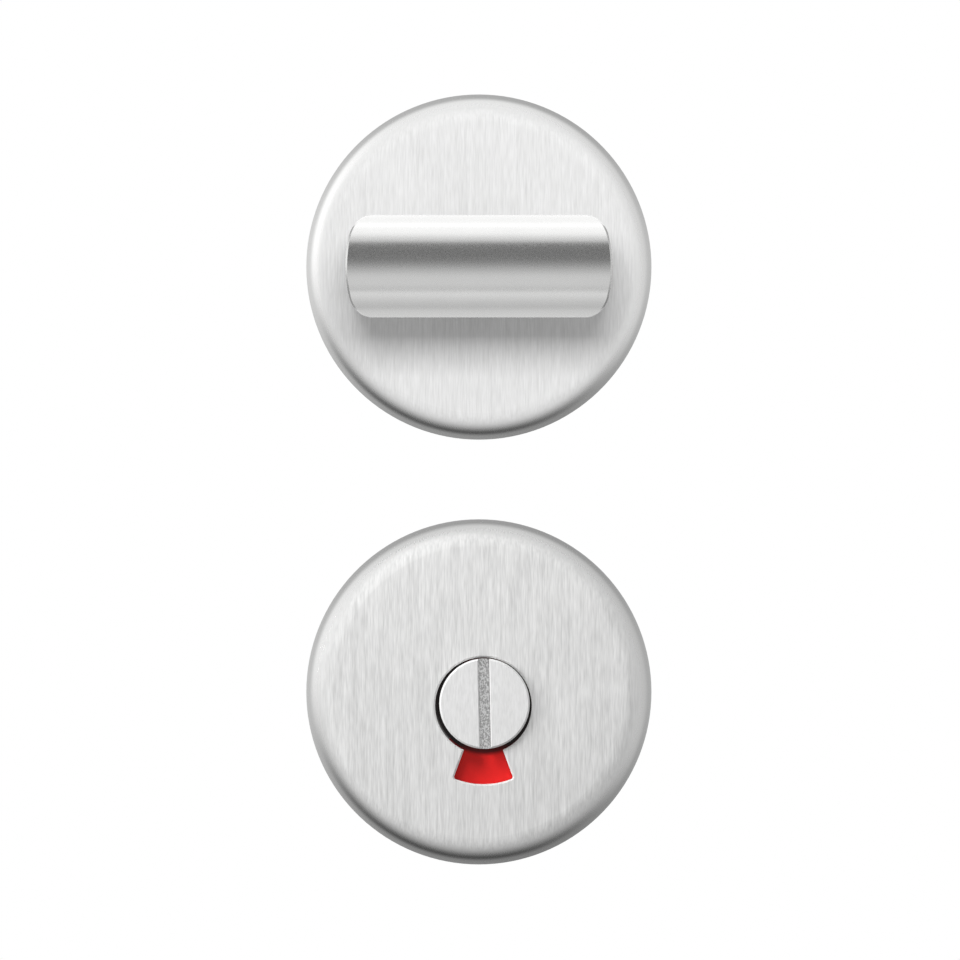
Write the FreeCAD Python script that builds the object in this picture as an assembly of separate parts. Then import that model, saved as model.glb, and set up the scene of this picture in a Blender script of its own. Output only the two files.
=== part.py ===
import FreeCAD, Part
import math
import os

Vector = FreeCAD.Vector

# Roses, in millimetres
ROSE_DIAMETER = 52.0
ROSE_SPACING = 64.0
ROSE_EDGE_RADIUS = 4.0
COVER_WALL = 1.5
COVER_HOLE_EDGE = 0.25
PLATE_FIT = 0.2
PLATE_EDGE = 0.25
TURN_PLATE_THICKNESS = 4.0
RELEASE_PLATE_THICKNESS = 3.75

# Split ring that clips a cover to its plate
SNAP_WIRE = 0.9
SNAP_HEIGHT = 2.0
SNAP_COVER_DEPTH = 0.4
SNAP_ROOM = 0.25
SNAP_CLEARANCE = 0.05
SNAP_SPLIT_ANGLE = 20.0

# Thumb turn; the lead is how far the rounded corners run past the bar's sides
BAR_DIAMETER = 15.4
BAR_LENGTH = 40.0
BAR_CORNER_RADIUS = 4.0
BAR_CORNER_LEAD = 0.1
BAR_EDGE = 0.25
BAR_STANDOFF = 5.0
NECK_DIAMETER = 13.0
NECK_BED = 0.25
NECK_END_INSET = 1.2
SPIGOT_DIAMETER = 6.0
SPIGOT_LENGTH = 6.0
GRUB_DIAMETER = 3.0
GRUB_INSET = 0.4
GRUB_KEY = 1.5
GRUB_KEY_DEPTH = 1.4

# Journals, bushes and what holds them
JOURNAL_DIAMETER = 12.0
BUSH_WALL = 1.25
BUSH_FLANGE_WIDTH = 1.7
BUSH_FLANGE_THICKNESS = 0.8
BUSH_PROUD = 0.2
RING_THICKNESS = 0.8
RING_WIDTH = 1.9
RING_GROOVE_DEPTH = 0.5
RING_GROOVE_LAND = 0.8
RING_GAP = 2.4
RING_LUG_DIAMETER = 3.0
RING_LUG_HOLE = 1.1
THRUST_THICKNESS = 0.4
WASHER_WIDTH = 2.6
WASHER_ROOM = 1.3
WAVE_HEIGHT = 0.6
WAVE_THICKNESS = 0.25
WAVE_SEAT = 0.01
WAVE_COUNT = 3
WAVE_POINTS = 8

# Spindle, fixing bolts and posts
SPINDLE_WIDTH = 6.0
SPINDLE_REACH = 45.0
SPINDLE_CHAMFER = 0.6
TURN_SOCKET_DEPTH = 12.8
BOLT_INSET = 7.0
BOLT_DIAMETER = 4.0
BOLT_SHOULDER = 0.25
BOLT_REACH = 42.0
BOLT_HEAD_DIAMETER = 7.5
BOLT_HEAD_INSET = 0.1
BOLT_KEY = 2.5
BOLT_KEY_DEPTH = 1.2
POST_DIAMETER = 6.0
POST_REACH = 12.0
POST_HOLE_DEPTH = 14.0
POST_FLANGE_WIDTH = 0.35
POST_FLANGE_THICKNESS = 0.9

# Release plug, indicator disc and window
RELEASE_SHIFT_RIGHT = 0.85
RELEASE_SHIFT_DOWN = 1.75
HOLE_SHIFT_LEFT = 0.17
HOLE_SHIFT_DOWN = 0.3
PLUG_DIAMETER = 13.6
PLUG_PROUD = 0.9
PLUG_EDGE = 0.25
PLUG_GAP = 0.48
PLUG_FLANGE_WIDTH = 2.25
PLUG_FLANGE_THICKNESS = 1.0
PLUG_END_INSET = 0.2
PLUG_SOCKET_DEPTH = 6.2
SLOT_WIDTH = 1.7
SLOT_DEPTH = 2.1
SLOT_EDGE = 0.12
SLOT_LEAN = 1.2
DISC_THICKNESS = 1.0
DISC_MARGIN = 1.7
DISC_RUNNING_GAP = 0.3
WINDOW_LENGTH = 4.55
WINDOW_HALF_ANGLE = 20.4
WINDOW_APEX_RISE = 1.2
WINDOW_CORNER = 0.4

# Clearances
RUNNING_CLEARANCE = 0.05
SEAT_CLEARANCE = 0.05
PRESS_CLEARANCE = 0.025
AXIAL_PLAY = 0.05
SPINDLE_CLEARANCE = 0.05
RING_CLEARANCE = 0.03
WASHER_CLEARANCE = 0.1
OVERCUT = 1.0

# Edges this near to a place count as lying there
SAME_PLACE = 1e-4

HEXAGON_SIDES = 6

# Heights are measured from the door's face; the release half's stack sets the height of both roses
release_bush_front = RELEASE_PLATE_THICKNESS + BUSH_FLANGE_THICKNESS
release_wave_back = release_bush_front + AXIAL_PLAY
plug_flange_back = release_wave_back + WAVE_HEIGHT
disc_back = plug_flange_back + PLUG_FLANGE_THICKNESS
disc_front = disc_back + DISC_THICKNESS
cover_underside = disc_front + DISC_RUNNING_GAP
rose_height = cover_underside + COVER_WALL
plug_front = rose_height + PLUG_PROUD

# Groove that the split ring sits in, in the covers and in the plates
snap_groove_back = SNAP_HEIGHT - SNAP_WIRE / 2 - SNAP_CLEARANCE
snap_groove_front = SNAP_HEIGHT + SNAP_WIRE / 2 + SNAP_CLEARANCE

# Turn half heights
turn_bush_front = rose_height + BUSH_PROUD
neck_shoulder = turn_bush_front + AXIAL_PLAY
bar_axis_height = rose_height + BAR_STANDOFF + BAR_DIAMETER / 2

# Radii
rose_radius = ROSE_DIAMETER / 2
cover_inner_radius = rose_radius - COVER_WALL
plate_radius = cover_inner_radius - PLATE_FIT
snap_outer_radius = cover_inner_radius + SNAP_COVER_DEPTH - SNAP_CLEARANCE
snap_inner_radius = snap_outer_radius - SNAP_WIRE
journal_radius = JOURNAL_DIAMETER / 2
groove_radius = journal_radius - RING_GROOVE_DEPTH
bush_bore_radius = journal_radius + RUNNING_CLEARANCE
bush_radius = bush_bore_radius + BUSH_WALL
bush_flange_radius = bush_radius + BUSH_FLANGE_WIDTH
bush_seat_radius = bush_radius + SEAT_CLEARANCE
washer_bore_radius = journal_radius + WASHER_CLEARANCE
washer_radius = washer_bore_radius + WASHER_WIDTH
ring_room_radius = washer_radius + WASHER_ROOM
plug_radius = PLUG_DIAMETER / 2
plug_flange_radius = plug_radius + PLUG_FLANGE_WIDTH
release_hole_radius = plug_radius + PLUG_GAP
window_radius = release_hole_radius + WINDOW_LENGTH
socket_width = SPINDLE_WIDTH + 2 * SPINDLE_CLEARANCE
bolt_shoulder_radius = BOLT_DIAMETER / 2 + BOLT_SHOULDER
bolt_offset = rose_radius - BOLT_INSET


class JournalStack:
    """Heights of the ring, its groove and the thrust washer, counted from a journal's end."""

    def __init__(self, end):
        self.end = end
        self.ring_back = end + RING_GROOVE_LAND
        self.ring_front = self.ring_back + RING_THICKNESS
        self.thrust_front = self.ring_front + THRUST_THICKNESS
        self.groove_back = self.ring_back - RING_CLEARANCE
        self.groove_front = self.ring_front + RING_CLEARANCE

    def journal_profile(self):
        """Points up the grooved journal, from its end to the front of the groove."""
        return [
            (0, self.end),
            (journal_radius, self.end),
            (journal_radius, self.groove_back),
            (groove_radius, self.groove_back),
            (groove_radius, self.groove_front),
            (journal_radius, self.groove_front),
        ]


turn_stack = JournalStack(NECK_END_INSET)
release_stack = JournalStack(PLUG_END_INSET)
turn_wave_front = turn_stack.thrust_front + WAVE_HEIGHT
turn_bush_back = turn_wave_front + AXIAL_PLAY
release_recess_depth = release_stack.thrust_front + AXIAL_PLAY


def turned(profile):
    """Solid turned about the Z axis from (radius, height) points."""
    corners = [Vector(radius, 0, height) for radius, height in profile]
    outline = Part.makePolygon(corners + corners[:1])
    return Part.Face(outline).revolve(Vector(0, 0, 0), Vector(0, 0, 1), 360)


def round_bar(radius, bottom, top, x=0.0, y=0.0):
    """Cylinder about a line parallel to Z."""
    return Part.makeCylinder(radius, top - bottom, Vector(x, y, bottom))


def tube(inner, outer, bottom, top):
    """Plain ring about the Z axis."""
    return round_bar(outer, bottom, top).cut(round_bar(inner, bottom - OVERCUT, top + OVERCUT))


def square_bar(width, bottom, top):
    """Square bar about the Z axis."""
    return Part.makeBox(width, width, top - bottom, Vector(-width / 2, -width / 2, bottom))


def hexagon_bar(width, bottom, top):
    """Hexagonal bar about the Z axis, measured across its flats."""
    corner_radius = width / math.sqrt(3)
    corners = []
    for step in range(HEXAGON_SIDES + 1):
        angle = math.tau * step / HEXAGON_SIDES
        corners.append(Vector(corner_radius * math.cos(angle), corner_radius * math.sin(angle), bottom))
    return Part.Face(Part.makePolygon(corners)).extrude(Vector(0, 0, top - bottom))


def round_edges(shape, radius, height):
    """Round edges of a shape that have the given radius and height."""
    found = []
    for edge in shape.Edges:
        curve = edge.Curve
        if isinstance(curve, Part.Circle) and math.isclose(curve.Radius, radius, abs_tol=SAME_PLACE):
            if math.isclose(curve.Center.z, height, abs_tol=SAME_PLACE):
                found.append(edge)
    return found


def rose_cap():
    """Cover without its openings: rounded rim, even wall and a groove inside for the split ring."""
    outside = round_bar(rose_radius, 0, rose_height)
    outside = outside.makeFillet(ROSE_EDGE_RADIUS, round_edges(outside, rose_radius, rose_height))
    inside_radius = ROSE_EDGE_RADIUS - COVER_WALL
    inside = round_bar(cover_inner_radius, 0, cover_underside)
    inside = inside.makeFillet(inside_radius, round_edges(inside, cover_inner_radius, cover_underside))
    groove = round_bar(cover_inner_radius + SNAP_COVER_DEPTH, snap_groove_back, snap_groove_front)
    return outside.cut(inside).cut(groove)


def snap_ring():
    """Split ring of square wire, with its gap at the bottom."""
    corner = Vector(snap_inner_radius, 0, SNAP_HEIGHT - SNAP_WIRE / 2)
    section = Part.makePlane(SNAP_WIRE, SNAP_WIRE, corner, Vector(0, -1, 0), Vector(1, 0, 0))
    ring = section.revolve(Vector(0, 0, 0), Vector(0, 0, 1), 360 - SNAP_SPLIT_ANGLE)
    ring.rotate(Vector(0, 0, 0), Vector(0, 0, 1), SNAP_SPLIT_ANGLE / 2 - 90)
    return ring


def plate_blank(thickness):
    """Back plate without its holes: a disc with a broken front edge and a groove for the split ring."""
    profile = [(0, 0), (plate_radius, 0), (plate_radius, thickness - PLATE_EDGE)]
    profile += [(plate_radius - PLATE_EDGE, thickness), (0, thickness)]
    groove = tube(snap_inner_radius - SNAP_ROOM, rose_radius, snap_groove_back, snap_groove_front)
    return turned(profile).cut(groove)


def wave_curve(radius, height):
    """Closed wavy edge at one radius, about a middle height."""
    swing = (WAVE_HEIGHT - WAVE_THICKNESS) / 2 - WAVE_SEAT
    points = []
    for step in range(WAVE_COUNT * WAVE_POINTS):
        angle = 2 * math.pi * step / (WAVE_COUNT * WAVE_POINTS)
        level = height + swing * math.cos(WAVE_COUNT * angle)
        points.append(Vector(radius * math.cos(angle), radius * math.sin(angle), level))
    curve = Part.BSplineCurve()
    curve.interpolate(Points=points, PeriodicFlag=True)
    return curve.toShape()


def wave_washer(back):
    """Spring washer that rises and falls around its circle, as one strip of even thickness."""
    low = back + (WAVE_HEIGHT - WAVE_THICKNESS) / 2
    high = low + WAVE_THICKNESS
    inner_low = wave_curve(washer_bore_radius, low)
    inner_high = wave_curve(washer_bore_radius, high)
    outer_low = wave_curve(washer_radius, low)
    outer_high = wave_curve(washer_radius, high)
    round_the_section = [inner_low, outer_low, outer_high, inner_high, inner_low]
    sides = zip(round_the_section, round_the_section[1:])
    faces = [Part.makeRuledSurface(first, second) for first, second in sides]
    shell = Part.makeShell(faces)
    shell.sewShape()
    return Part.makeSolid(shell)


def retaining_ring(stack):
    """Open ring in the journal's groove, with two drilled ears for the pliers."""
    inner = groove_radius + RING_CLEARANCE
    ring = tube(inner, inner + RING_WIDTH, stack.ring_back, stack.ring_front)
    ear_radius = RING_LUG_DIAMETER / 2
    ear_x = RING_GAP / 2 + ear_radius
    ear_y = math.sqrt((inner + ear_radius) ** 2 - ear_x ** 2)
    gap_corner = Vector(-RING_GAP / 2, 0, stack.ring_back - OVERCUT)
    gap = Part.makeBox(RING_GAP, inner + RING_WIDTH + OVERCUT, RING_THICKNESS + 2 * OVERCUT, gap_corner)
    ring = ring.cut(gap)
    for side in (-1, 1):
        ear = round_bar(ear_radius, stack.ring_back, stack.ring_front, side * ear_x, ear_y)
        hole = round_bar(RING_LUG_HOLE / 2, stack.ring_back, stack.ring_front, side * ear_x, ear_y)
        ring = ring.fuse(ear).cut(hole)
    return ring.removeSplitter()


def thrust_washer(stack):
    """Flat washer in front of the retaining ring."""
    return tube(washer_bore_radius, washer_radius, stack.ring_front, stack.thrust_front)


def turn_rose_cover():
    """Cover of the turn half, with the bush's seat in the middle."""
    cover = rose_cap().cut(round_bar(bush_seat_radius, 0, rose_height + OVERCUT))
    return cover.makeChamfer(COVER_HOLE_EDGE, round_edges(cover, bush_seat_radius, rose_height))


def turn_cover_bush():
    """Bush with a flange under the cover and a nose through it."""
    flange_back = cover_underside - BUSH_FLANGE_THICKNESS
    return turned([
        (bush_bore_radius, turn_bush_back),
        (bush_radius, turn_bush_back),
        (bush_radius, flange_back),
        (bush_flange_radius, flange_back),
        (bush_flange_radius, cover_underside),
        (bush_radius, cover_underside),
        (bush_radius, turn_bush_front),
        (bush_bore_radius, turn_bush_front),
    ])


def bar_outline():
    """Front outline of the bar: ends on one circle about the turning axis, with rounded corners."""
    half_length = BAR_LENGTH / 2
    half_width = BAR_DIAMETER / 2 + BAR_CORNER_LEAD
    corner_y = half_width - BAR_CORNER_RADIUS
    corner_x = math.sqrt((half_length - BAR_CORNER_RADIUS) ** 2 - corner_y ** 2)
    tangent = half_length / (half_length - BAR_CORNER_RADIUS)
    slant = math.atan2(corner_y, corner_x)
    middle = (slant + math.pi / 2) / 2
    mid_x = corner_x + BAR_CORNER_RADIUS * math.cos(middle)
    mid_y = corner_y + BAR_CORNER_RADIUS * math.sin(middle)
    edges = []
    for x, y in ((1, 1), (-1, 1), (-1, -1), (1, -1)):
        end = Vector(x * corner_x * tangent, y * corner_y * tangent, 0)
        mid = Vector(x * mid_x, y * mid_y, 0)
        side = Vector(x * corner_x, y * half_width, 0)
        edges.append(Part.Arc(end, mid, side).toShape())
    for x in (1, -1):
        top = Vector(x * corner_x * tangent, corner_y * tangent, 0)
        bottom = Vector(x * corner_x * tangent, -corner_y * tangent, 0)
        edges.append(Part.Arc(top, Vector(x * half_length, 0, 0), bottom).toShape())
    for y in (1, -1):
        left = Vector(-corner_x, y * half_width, 0)
        edges.append(Part.makeLine(left, Vector(corner_x, y * half_width, 0)))
    return Part.Wire(Part.__sortEdges__(edges))


def thumb_turn_bar():
    """Round bar trimmed to its front outline, with broken end edges, and bored at the back for the neck."""
    rod = round_bar(BAR_DIAMETER / 2, -BAR_LENGTH, BAR_LENGTH)
    rod.rotate(Vector(0, 0, 0), Vector(0, 1, 0), 90)
    rod.translate(Vector(0, 0, bar_axis_height))
    trim = Part.Face(bar_outline()).extrude(Vector(0, 0, bar_axis_height + BAR_DIAMETER))
    bar = rod.common(trim).Solids[0]
    end_edges = [edge for edge in bar.Edges if isinstance(edge.Curve, Part.BSplineCurve)]
    bar = bar.makeChamfer(BAR_EDGE, end_edges)
    bed = round_bar(NECK_DIAMETER / 2 + PRESS_CLEARANCE, 0, bar_bed_height())
    top = bar_bed_height() + SPIGOT_LENGTH + SEAT_CLEARANCE
    bore = round_bar(SPIGOT_DIAMETER / 2 + PRESS_CLEARANCE, 0, top)
    return bar.cut(bed).cut(bore)


def bar_bed_height():
    """Height of the flat bed in the bar, just past where the neck's rim meets the round back."""
    rise = math.sqrt((BAR_DIAMETER / 2) ** 2 - (NECK_DIAMETER / 2) ** 2)
    return bar_axis_height - rise + NECK_BED


def thumb_turn_neck():
    """Stem with a spigot for the bar, a journal in the bush and a square socket for the spindle."""
    neck_radius = NECK_DIAMETER / 2
    bed = bar_bed_height()
    profile = turn_stack.journal_profile()
    profile += [(journal_radius, neck_shoulder), (neck_radius, neck_shoulder), (neck_radius, bed)]
    spigot_radius = SPIGOT_DIAMETER / 2
    spigot_front = bed + SPIGOT_LENGTH
    profile += [(spigot_radius, bed), (spigot_radius, spigot_front), (0, spigot_front)]
    neck = turned(profile)
    neck = neck.cut(square_bar(socket_width, NECK_END_INSET - OVERCUT, turn_socket_end()))
    return neck.cut(grub_bar(GRUB_DIAMETER / 2 + PRESS_CLEARANCE, 0, neck_radius + OVERCUT))


def turn_socket_end():
    """Height where the neck's square socket ends."""
    return NECK_END_INSET + TURN_SOCKET_DEPTH


def grub_bar(radius, inner, outer):
    """Cylinder across the neck's lower side, between the rose and the bar."""
    height = rose_height + BAR_STANDOFF / 2
    return Part.makeCylinder(radius, outer - inner, Vector(0, -inner, height), Vector(0, -1, 0))


def turn_grub_screw():
    """Headless screw from the neck's lower side to the spindle, with a hexagon for its key."""
    inner = SPINDLE_WIDTH / 2 + PRESS_CLEARANCE
    outer = NECK_DIAMETER / 2 - GRUB_INSET
    key = hexagon_bar(GRUB_KEY, outer - GRUB_KEY_DEPTH, outer + OVERCUT)
    key.rotate(Vector(0, 0, 0), Vector(1, 0, 0), 90)
    key.translate(Vector(0, 0, rose_height + BAR_STANDOFF / 2))
    return grub_bar(GRUB_DIAMETER / 2, inner, outer).cut(key)


def turn_spindle():
    """Square spindle with a chamfered point, from the neck's socket through the door."""
    spindle = square_bar(SPINDLE_WIDTH, -SPINDLE_REACH, turn_socket_end() - SPINDLE_CLEARANCE)
    point = [edge for edge in spindle.Edges if edge.BoundBox.ZMax < SPINDLE_CHAMFER - SPINDLE_REACH]
    return spindle.makeChamfer(SPINDLE_CHAMFER, point)


def turn_backplate():
    """Plate with a clear middle for the neck's ring and two countersunk bolt holes."""
    plate = plate_blank(TURN_PLATE_THICKNESS)
    plate = plate.cut(round_bar(ring_room_radius, -OVERCUT, TURN_PLATE_THICKNESS + OVERCUT))
    for side in (-1, 1):
        space = turned(bolt_profile(SEAT_CLEARANCE))
        space.translate(Vector(side * bolt_offset, 0, 0))
        plate = plate.cut(space)
    return plate


def bolt_profile(clearance):
    """Points down a countersunk bolt's head and shoulder, widened by a clearance."""
    head_radius = BOLT_HEAD_DIAMETER / 2
    head_front = TURN_PLATE_THICKNESS - BOLT_HEAD_INSET
    cone_back = head_front - (head_radius - bolt_shoulder_radius)
    overrun = OVERCUT if clearance else 0
    return [
        (0, -overrun),
        (bolt_shoulder_radius + clearance, -overrun),
        (bolt_shoulder_radius + clearance, cone_back),
        (head_radius + clearance, head_front),
        (head_radius + clearance, head_front + overrun),
        (0, head_front + overrun),
    ]


def turn_bolt():
    """Countersunk bolt with a plain shoulder in the plate and its thread behind the door's face."""
    head_front = TURN_PLATE_THICKNESS - BOLT_HEAD_INSET
    thread = round_bar(BOLT_DIAMETER / 2, -BOLT_REACH, 0)
    key = hexagon_bar(BOLT_KEY, head_front - BOLT_KEY_DEPTH, head_front + OVERCUT)
    return turned(bolt_profile(0)).fuse(thread).cut(key)


def release_rose_cover():
    """Cover of the release half, with the plug's hole and the window that opens out of it."""
    cover = rose_cap()
    openings = round_bar(release_hole_radius, cover_underside - OVERCUT, rose_height + OVERCUT)
    openings = openings.fuse(indicator_window())
    hole_x = RELEASE_SHIFT_RIGHT - HOLE_SHIFT_LEFT
    hole_y = -RELEASE_SHIFT_DOWN - HOLE_SHIFT_DOWN
    openings.translate(Vector(hole_x, hole_y, 0))
    cover = cover.cut(openings)
    rim = [edge for edge in cover.Edges if is_opening_rim(edge)]
    return cover.makeChamfer(COVER_HOLE_EDGE, rim)


def is_opening_rim(edge):
    """Whether an edge lies in the cover's front face, inside the disc's outline."""
    box = edge.BoundBox
    flat = box.ZLength < SAME_PLACE and math.isclose(box.ZMin, rose_height, abs_tol=SAME_PLACE)
    return flat and box.XMax < window_radius + DISC_MARGIN


def indicator_window():
    """Slice of a ring below the plug's hole, with rounded outer corners."""
    bottom = cover_underside - OVERCUT
    apex = Vector(0, WINDOW_APEX_RISE, bottom)
    reach = 2 * window_radius
    half_width = reach * math.tan(math.radians(WINDOW_HALF_ANGLE))
    right = apex + Vector(half_width, -reach, 0)
    left = apex + Vector(-half_width, -reach, 0)
    wedge = Part.Face(Part.makePolygon([apex, right, left, apex]))
    wedge = wedge.extrude(Vector(0, 0, COVER_WALL + 2 * OVERCUT))
    window = round_bar(window_radius, bottom, rose_height + OVERCUT).common(wedge)
    corners = []
    for edge in window.Edges:
        upright = edge.BoundBox.ZLength > COVER_WALL
        if upright and edge.BoundBox.YMin < -window_radius / 2:
            corners.append(edge)
    return window.makeFillet(WINDOW_CORNER, corners)


def release_plug():
    """Plug with a coin slot in its head, a flange under the disc and a grooved journal behind."""
    profile = release_stack.journal_profile()
    profile += [
        (journal_radius, plug_flange_back),
        (plug_flange_radius, plug_flange_back),
        (plug_flange_radius, disc_back),
        (plug_radius, disc_back),
        (plug_radius, plug_front - PLUG_EDGE),
        (plug_radius - PLUG_EDGE, plug_front),
        (0, plug_front),
    ]
    plug = turned(profile)
    socket = square_bar(socket_width, PLUG_END_INSET - OVERCUT, PLUG_END_INSET + PLUG_SOCKET_DEPTH)
    return plug.cut(coin_slot()).cut(socket)


def coin_slot():
    """Slot across the plug's head, leaning a little, with its two long edges broken."""
    wall = SLOT_WIDTH / 2
    floor = plug_front - SLOT_DEPTH
    broken = plug_front - SLOT_EDGE
    above = plug_front + OVERCUT
    mouth = wall + above - broken
    right_side = [(wall, floor), (wall, broken), (mouth, above)]
    left_side = [(-across, height) for across, height in reversed(right_side)]
    corners = [Vector(across, -PLUG_DIAMETER, height) for across, height in right_side + left_side]
    slot = Part.Face(Part.makePolygon(corners + corners[:1])).extrude(Vector(0, 2 * PLUG_DIAMETER, 0))
    slot.rotate(Vector(0, 0, 0), Vector(0, 0, 1), SLOT_LEAN)
    return slot


def indicator_disc():
    """Disc pressed round the plug's head, wide enough to fill the window."""
    return tube(plug_radius + PRESS_CLEARANCE, window_radius + DISC_MARGIN, disc_back, disc_front)


def release_bush():
    """Bush with a flange in front of the plate."""
    return turned([
        (bush_bore_radius, release_recess_depth),
        (bush_radius, release_recess_depth),
        (bush_radius, RELEASE_PLATE_THICKNESS),
        (bush_flange_radius, RELEASE_PLATE_THICKNESS),
        (bush_flange_radius, release_bush_front),
        (bush_bore_radius, release_bush_front),
    ])


def release_backplate():
    """Plate with the bush's seat, a recess behind it for the ring and two seats for the posts."""
    plate = plate_blank(RELEASE_PLATE_THICKNESS)
    spaces = [round_bar(bush_seat_radius, -OVERCUT, RELEASE_PLATE_THICKNESS + OVERCUT)]
    spaces.append(round_bar(ring_room_radius, -OVERCUT, release_recess_depth))
    for side in (-1, 1):
        space = turned(post_profile(SEAT_CLEARANCE, OVERCUT))
        space.translate(Vector(side * bolt_offset, 0, 0))
        spaces.append(space)
    for space in spaces:
        space.translate(Vector(RELEASE_SHIFT_RIGHT, -RELEASE_SHIFT_DOWN, 0))
        plate = plate.cut(space)
    return plate


def post_profile(clearance, overrun):
    """Points up a post's body and front flange, widened by a clearance."""
    body_radius = POST_DIAMETER / 2 + clearance
    flange_radius = body_radius + POST_FLANGE_WIDTH
    flange_back = RELEASE_PLATE_THICKNESS - POST_FLANGE_THICKNESS - SEAT_CLEARANCE
    front = RELEASE_PLATE_THICKNESS - SEAT_CLEARANCE + overrun
    return [
        (0, -POST_REACH),
        (body_radius, -POST_REACH),
        (body_radius, flange_back),
        (flange_radius, flange_back),
        (flange_radius, front),
        (0, front),
    ]


def release_post():
    """Post with a blind hole from behind for a bolt."""
    hole = round_bar(BOLT_DIAMETER / 2, -POST_REACH - OVERCUT, POST_HOLE_DEPTH - POST_REACH)
    return turned(post_profile(0, 0)).cut(hole)


def save(name, shape, x=0.0, y=0.0):
    """Put a piece in its place on the door's face, turn that face to the front and write it."""
    placed = shape.copy()
    placed.translate(Vector(x, y, 0))
    placed.rotate(Vector(0, 0, 0), Vector(1, 0, 0), 90)
    placed.exportStep("parts/" + name + ".step")


def save_turn_half():
    """Write the pieces of the half with the thumb turn."""
    save("turn_rose_cover", turn_rose_cover())
    save("turn_cover_bush", turn_cover_bush())
    save("thumb_turn_bar", thumb_turn_bar())
    save("thumb_turn_neck", thumb_turn_neck())
    save("turn_grub_screw", turn_grub_screw())
    save("turn_spindle", turn_spindle())
    save("turn_wave_washer", wave_washer(turn_stack.thrust_front))
    save("turn_thrust_washer", thrust_washer(turn_stack))
    save("turn_retaining_ring", retaining_ring(turn_stack))
    save("turn_backplate", turn_backplate())
    save("turn_cover_snap_ring", snap_ring())
    save("turn_bolt_left", turn_bolt(), -bolt_offset)
    save("turn_bolt_right", turn_bolt(), bolt_offset)


def save_release_half():
    """Write the pieces of the half with the coin release and the indicator."""
    axis_x = RELEASE_SHIFT_RIGHT
    axis_y = -ROSE_SPACING - RELEASE_SHIFT_DOWN
    save("release_rose_cover", release_rose_cover(), 0, -ROSE_SPACING)
    save("release_plug", release_plug(), axis_x, axis_y)
    save("indicator_disc", indicator_disc(), axis_x, axis_y)
    save("release_wave_washer", wave_washer(release_wave_back), axis_x, axis_y)
    save("release_bush", release_bush(), axis_x, axis_y)
    save("release_thrust_washer", thrust_washer(release_stack), axis_x, axis_y)
    save("release_retaining_ring", retaining_ring(release_stack), axis_x, axis_y)
    save("release_backplate", release_backplate(), 0, -ROSE_SPACING)
    save("release_cover_snap_ring", snap_ring(), 0, -ROSE_SPACING)
    save("release_post_left", release_post(), axis_x - bolt_offset, axis_y)
    save("release_post_right", release_post(), axis_x + bolt_offset, axis_y)


os.makedirs("parts", exist_ok=True)
save_turn_half()
save_release_half()
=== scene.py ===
import math

import bmesh
import bpy
from bpy.props import FloatProperty, FloatVectorProperty, IntProperty, PointerProperty
from mathutils import Matrix, Vector


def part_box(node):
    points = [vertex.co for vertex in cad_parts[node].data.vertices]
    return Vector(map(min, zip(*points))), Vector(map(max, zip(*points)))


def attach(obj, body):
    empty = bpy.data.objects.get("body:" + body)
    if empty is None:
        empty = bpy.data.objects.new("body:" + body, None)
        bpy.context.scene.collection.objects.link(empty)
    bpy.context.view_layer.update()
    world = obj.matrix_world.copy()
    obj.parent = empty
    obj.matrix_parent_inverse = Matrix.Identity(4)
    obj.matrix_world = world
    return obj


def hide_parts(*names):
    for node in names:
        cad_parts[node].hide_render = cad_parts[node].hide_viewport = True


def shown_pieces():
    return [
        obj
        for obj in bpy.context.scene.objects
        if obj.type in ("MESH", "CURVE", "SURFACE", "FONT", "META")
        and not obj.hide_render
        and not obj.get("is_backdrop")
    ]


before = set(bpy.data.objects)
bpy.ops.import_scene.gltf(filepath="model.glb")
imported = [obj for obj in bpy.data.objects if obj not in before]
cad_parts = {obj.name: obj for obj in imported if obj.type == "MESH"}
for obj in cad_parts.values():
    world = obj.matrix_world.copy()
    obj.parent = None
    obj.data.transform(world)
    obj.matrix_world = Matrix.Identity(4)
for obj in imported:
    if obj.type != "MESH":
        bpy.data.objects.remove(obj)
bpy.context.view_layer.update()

bl_info = {
    "name": "Bathroom thumb turn lock",
    "version": (1, 0, 0),
    "blender": (4, 5, 0),
    "location": "View3D > Sidebar > Thumb turn",
    "description": "Finishes, threaded fixings and studio stage for a two-rose bathroom lock",
    "category": "Object",
}

MM = 0.001
DOOR_FITTINGS = "door_fittings"

# Places on the door's face, in millimetres: the turn's axis, the release rose's middle and the release's axis
TURN_AXIS = Vector((0.0, 0.0, 0.0))
RELEASE_ROSE = Vector((0.0, 0.0, -64.0))
RELEASE_AXIS = Vector((0.85, 0.0, -65.75))

# Planes in which a distance from a middle is measured
DOOR_FACE = Vector((1, 0, 1))
LEVEL = Vector((1, 1, 0))

# Radii between which the brushed face of a rose goes over into its polished rim, in millimetres
RIM_START, RIM_END = 22.3, 25.0

# Coin slot, in millimetres: distances from its middle over which the milling ends and painted shade darkens
# the floor, the milling's depths along Y, and how far the slot runs sideways for each millimetre of height
MILLED_START, MILLED_END = 0.9, 1.0
WALL_SHADE_START, WALL_SHADE_END = 0.55, 0.85
MILLED_FRONT, MILLED_FLOOR = -9.4, -7.5
SLOT_LEAN = 0.021

# Radii between which painted shade in the gap beside the plug goes over into the disc's enamel, in
# millimetres
GAP_SHADE_START, GAP_SHADE_END = 7.2, 8.1

# Where the lens points, in millimetres, and where the lamps point, in metres
LENS_PLACE = (0.17, -32.08)
LAMPS_AIM = Vector((0.0, -0.01, -0.032))

# A height between the turn half and the release half, in metres
BETWEEN_HALVES = -0.030

# Floor: its radius in metres, and the radii in millimetres between which it thins out
FLOOR_RADIUS = 0.36
FLOOR_FADE_START, FLOOR_FADE_END = 180.0, 350.0

# Turns of thread made in all beyond a piece's length, and those before its start: flat cuts take them off
SPARE_TURNS = 3
TURNS_BEFORE = 1.5

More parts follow.
